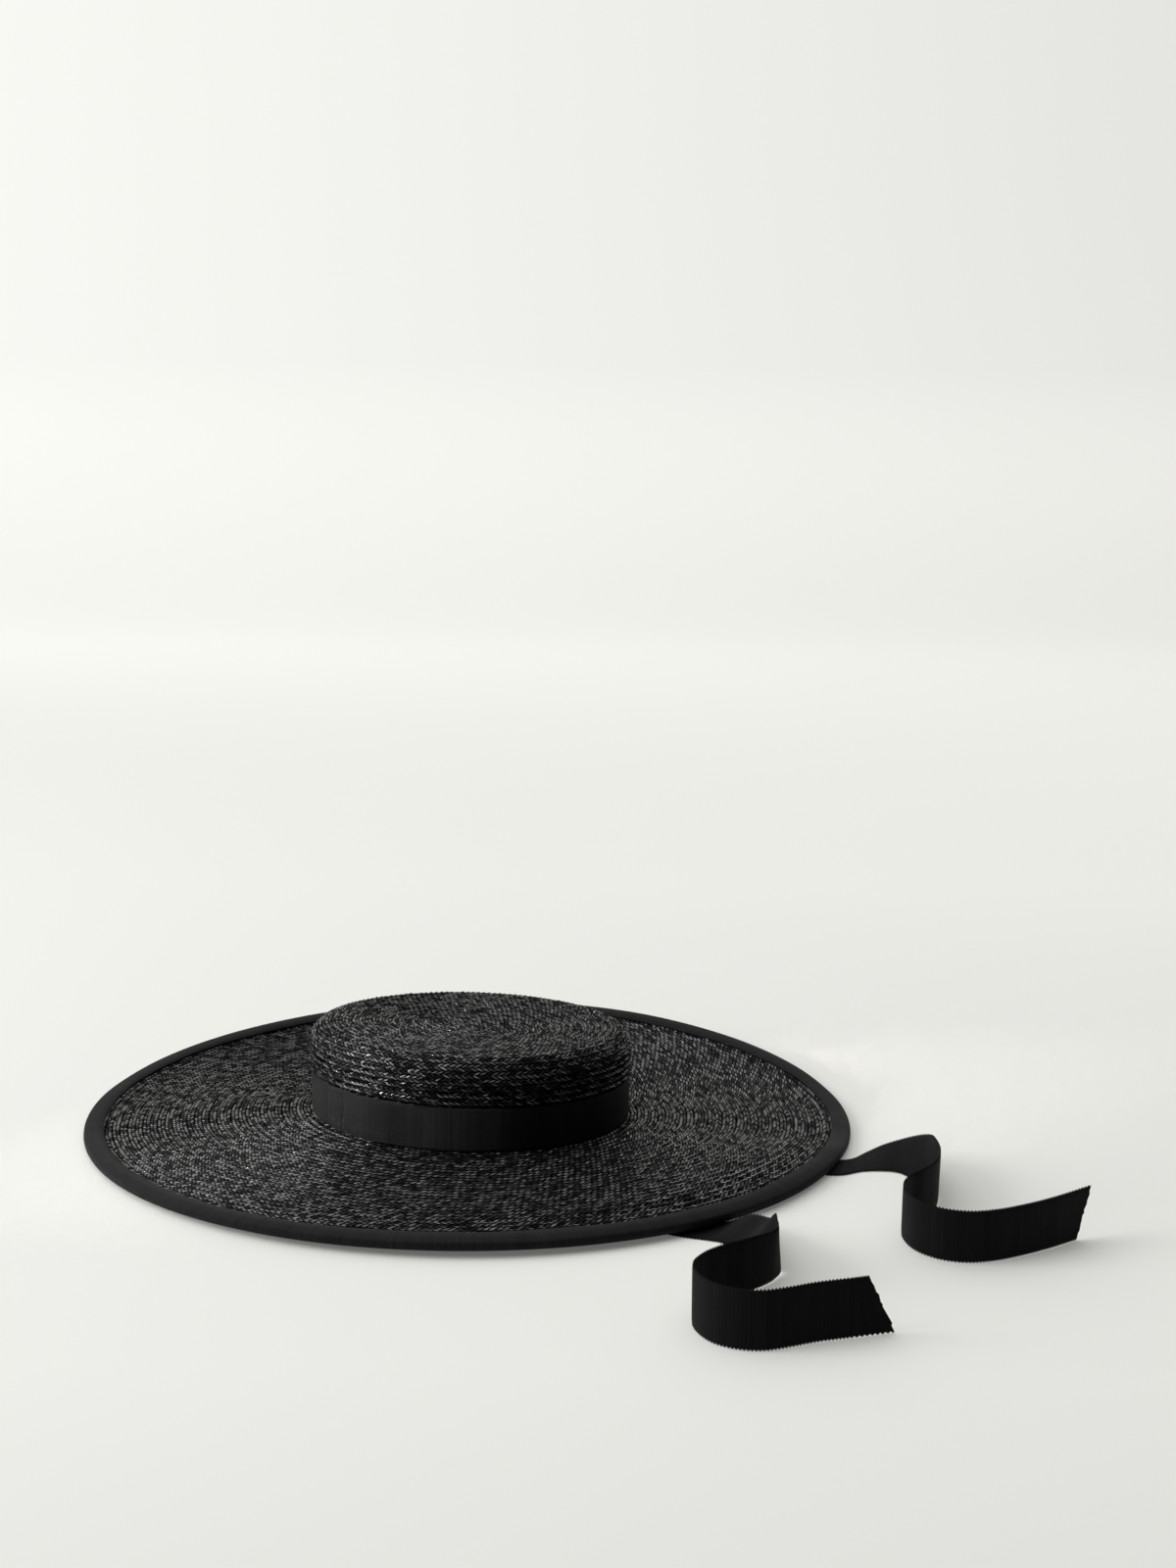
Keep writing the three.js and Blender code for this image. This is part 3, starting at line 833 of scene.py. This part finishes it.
def grosgrain_material(name, warps, depth, gloss):
    """Height and colour are both sums of four parts: the rib's cosine of u, the warp threads'
    sine of v, a slow noise for the dye, and one random number for each rib. In the colour the
    rib's cosine and the warp's sine are painted shade, darker in the grooves and lighter on the
    crests. The colour's sum is multiplied by the depth."""
    material, shader, start = new_material(name)
    u, v = follow(start)
    rib = (u * (2 * pi)).cosine() * 0.5 + 0.5
    warp = (v * warps).sine() * 0.5 + 0.5
    dye_place = start.out("ShaderNodeCombineXYZ", _0=u * 0.6, _1=v * 1.5, _2=0.0)
    dye = start.out("ShaderNodeTexNoise", Vector=dye_place, Scale=1.0, Detail=3.0)
    thread = start.out(
        "ShaderNodeTexWhiteNoise", {"noise_dimensions": "1D"}, "Value", W=(u + 0.5).floor()
    )
    height = rib * 0.6 + warp * 0.35 + dye * 0.2 + thread * 0.5
    # The rib and warp terms paint shade into the colour, darker in the grooves and lighter on the
    # crests; the dye noise and each rib's random number are the ribbon's own tone.
    tone_and_painted_relief_shade = (rib * 0.3 + dye * 0.25 + warp * 0.1 + thread * 0.3) * depth
    start.feed(
        shader,
        Base_Color=tone_and_painted_relief_shade.shade(ribbon_shades), Roughness=0.62 + 0.2 * dye,
        Normal=start.out("ShaderNodeBump", Strength=0.5, Distance=ribbon_relief, Height=height),
        Specular_IOR_Level=gloss,
        Sheen_Weight=ribbon_sheen, Sheen_Roughness=ribbon_sheen_roughness,
    )
    return material


dress(tie_pieces, grosgrain_material("tie_grosgrain", warps=160.0, depth=0.35, gloss=0.08))
dress((band, binding), grosgrain_material("trim_grosgrain", warps=220.0, depth=0.75, gloss=0.12))

# %% [markdown]
# ## The table and the light
# The hat lies on a warm white sweep, a floor that curves up into a wall so that no edge shows.
# A flat plane would end in a horizon. The light on the hat is large and soft and comes from the
# upper left and behind, so the sides that face the camera stay dark.

# %% Sweep
sweep_half_width, sweep_front, sweep_height = 9, -6, 9
bend_start, bend_radius, bend_points = 3.5, 2.5, 24


def sweep_surface():
    """A floor that turns up into a wall: the section is a line, a quarter circle and a line."""
    bend = np.linspace(0, pi / 2, bend_points)
    back = bend_start + bend_radius
    y = np.concatenate([[sweep_front], bend_start + bend_radius * np.sin(bend), [back]])
    z = np.concatenate([[0], bend_radius * (1 - np.cos(bend)), [sweep_height]])
    x = np.linspace(-sweep_half_width, sweep_half_width, 3)
    grid = np.stack(np.broadcast_arrays(x[:, None], y[None], z[None]), -1)
    return surface("sweep", grid, grid[..., :2] / 10)


sweep = bpy.data.objects.new("sweep", sweep_surface())
bpy.context.scene.collection.objects.link(sweep)
print("sweep has", len(sweep.data.polygons), "faces")

# %% [markdown]
# White paper lit by lamps alone would go grey where the sweep turns up, away from the lamps. So
# the wall gives its own light, a little more on the left, and the floor a faint light that
# grows towards the back.

# %% Sweep material
paper_white, paper_dark = (0.86, 0.865, 0.835, 1), (0.02, 0.02, 0.02, 1)
glow_black, glow_white = (0, 0, 0, 1), (1.0, 1.0, 0.96, 1)
front_climb, middle_climb, back_climb = (-0.9, -0.35), (0.0, 0.7), (0.3, 3.4)


def sweep_material():
    """Wall is 0 on the floor and 1 where the sweep stands up. The paper's colour goes from
    white to dark with it. The floor's own light is three climbs along y, each with a slope
    along x, and the wall's is one slope along x, with a little more in the bend."""
    material, shader, start = new_material("sweep_white")
    tree = start.tree
    normal = start.out("ShaderNodeNewGeometry", output="Normal")
    facing = start.node("ShaderNodeSeparateXYZ", _0=normal)
    place = start.out("ShaderNodeTexCoord", output="Object")
    where = start.node("ShaderNodeSeparateXYZ", _0=place)
    wall = ((1 - abs(Wire(tree, facing.outputs[2]))) * 3.2).at_most(1.0)
    sideways, backward = Wire(tree, where.outputs[0]), Wire(tree, where.outputs[1])
    floor_glow = (
        (0.12 + 0.02 * sideways) * backward.climb(*front_climb)
        + (0.06 + 0.045 * sideways) * backward.climb(*middle_climb)
        + (0.18 - 0.09 * sideways) * backward.climb(*back_climb, "SMOOTHSTEP")
    )
    wall_glow = 0.85 - 0.038 * sideways
    glow = wall_glow * wall + floor_glow * (1 - wall) + 0.3 * wall * (1 - wall)
    mix = ("ShaderNodeMix", {"data_type": "RGBA"}, 2)
    start.feed(
        shader,
        Base_Color=start.out(*mix, _0=wall, _6=paper_white, _7=paper_dark),
        Emission_Color=start.out(*mix, _0=glow, _6=glow_black, _7=glow_white),
        Emission_Strength=1.0, Roughness=0.8, Specular_IOR_Level=0.2,
    )
    return material


dress([sweep], sweep_material())

# %% [markdown]
# The sky of a studio is a bright ceiling and a dark room behind the camera. The world's
# strength follows the direction: bright overhead, to the left and behind the hat, and dark
# towards the camera, so the front of the band and of the ribbons is nearly black. A large
# window of light stands at the left, and a small low lamp with a narrow beam puts sparks on the
# left of the crown.

# %% Sky
sky_strength, sky_floor = 1.28, 0.05
bright_direction = (-0.42, 0.42, 0.80)
sky_colour = (1, 1, 0.985, 1)

world = bpy.data.worlds.new("studio")
bpy.context.scene.world = world
world.use_nodes = True
sky = Wire(world.node_tree, None)
direction = sky.out("ShaderNodeTexCoord", output="Generated")
share = sky.out(
    "ShaderNodeVectorMath", {"operation": "DOT_PRODUCT"}, "Value",
    _0=direction, _1=bright_direction,
).at_least(0.0)
sky.feed(
    world.node_tree.nodes["Background"],
    Color=sky_colour, Strength=sky_floor + sky_strength * share * share,
)
bpy.context.scene.view_settings.view_transform = "Standard"
print("the sky's strength runs from", sky_floor, "to", sky_floor + sky_strength)

# %% Lamps
def softbox(name, place, aim, size, power, spread=180):
    """A square area light at a place, turned to face the aim."""
    data = bpy.data.lights.new(name, "AREA")
    data.shape = "SQUARE"
    data.size = size
    data.energy = power
    data.spread = radians(spread)
    lamp = bpy.data.objects.new(name, data)
    away = Vector(place) - Vector(aim)
    lamp.matrix_world = Matrix.Translation(place) @ away.to_track_quat("Z", "Y").to_matrix().to_4x4()
    bpy.context.scene.collection.objects.link(lamp)


softbox("window", (-2.4, -0.5, 1.1), (0, 0, 0), size=1.6, power=44)
softbox("low_lamp", (-1.45, -0.55, 0.55), (-0.05, -0.05, 0.04), size=0.12, power=0.09, spread=8)
